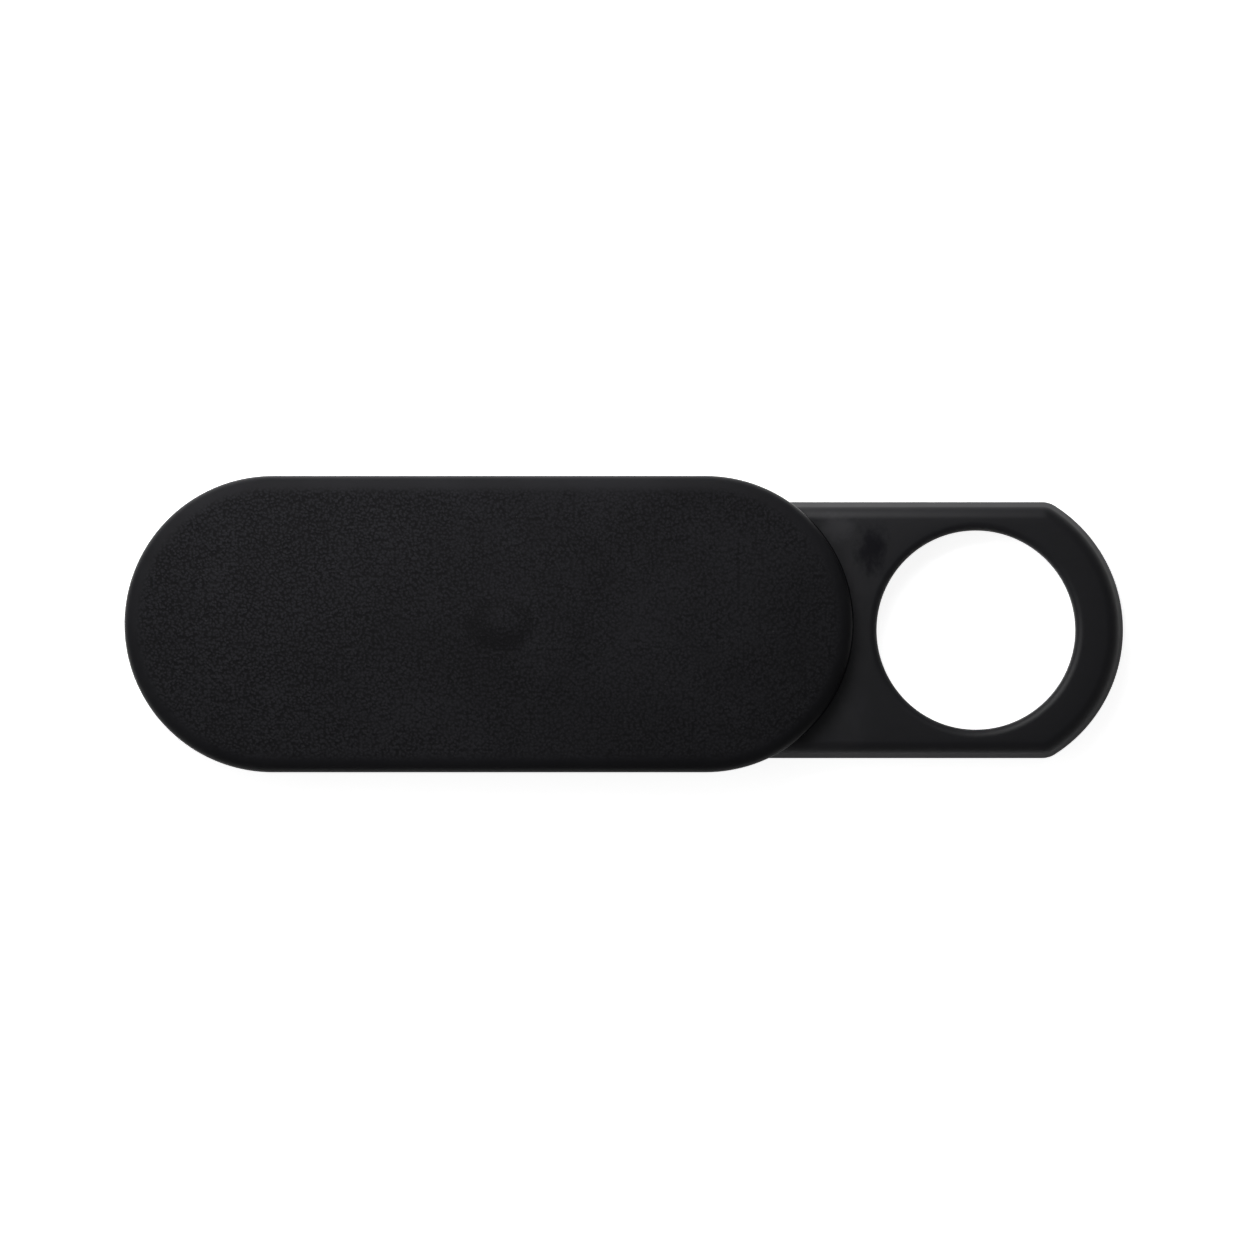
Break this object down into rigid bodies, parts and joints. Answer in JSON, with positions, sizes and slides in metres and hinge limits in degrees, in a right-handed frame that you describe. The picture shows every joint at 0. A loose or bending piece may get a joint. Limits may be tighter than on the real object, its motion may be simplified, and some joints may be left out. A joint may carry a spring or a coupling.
{
  "type": "webcam cover slider",
  "caption": "Slim stadium-shaped plastic cover that slides along a stick-on base plate to bare or hide the round window over a camera lens.",
  "frame": {"origin": "on the axis of the lens window, in the plane that the part lies on, which is the underside of the release liner", "axes": "+X along the slide, the way the cover shuts; +Y across the face; +Z out of the face, along the lens axis"},
  "size_m": [0.0412, 0.0121, 0.0026],
  "materials": {
    "cover_plastic": "black, fine moulded grain on the face, smooth at the rounded rim",
    "base_plastic": "black, satin and ungrained, lightly rubbed",
    "pad_foam": "dark acrylic foam, tacky and matte",
    "liner_paper": "white silicone-coated paper, faint sheen"
  },
  "bodies": {
    "base": {"base_plate": "base_plastic", "adhesive_pad": "pad_foam", "release_liner": "liner_paper"},
    "cover": {"sliding_cover": "cover_plastic"}
  },
  "joints": [
    {"name": "cover_slide", "type": "slide", "parent": "base", "child": "cover", "axis": [1, 0, 0], "range_m": [0, 0.01115]}
  ]
}
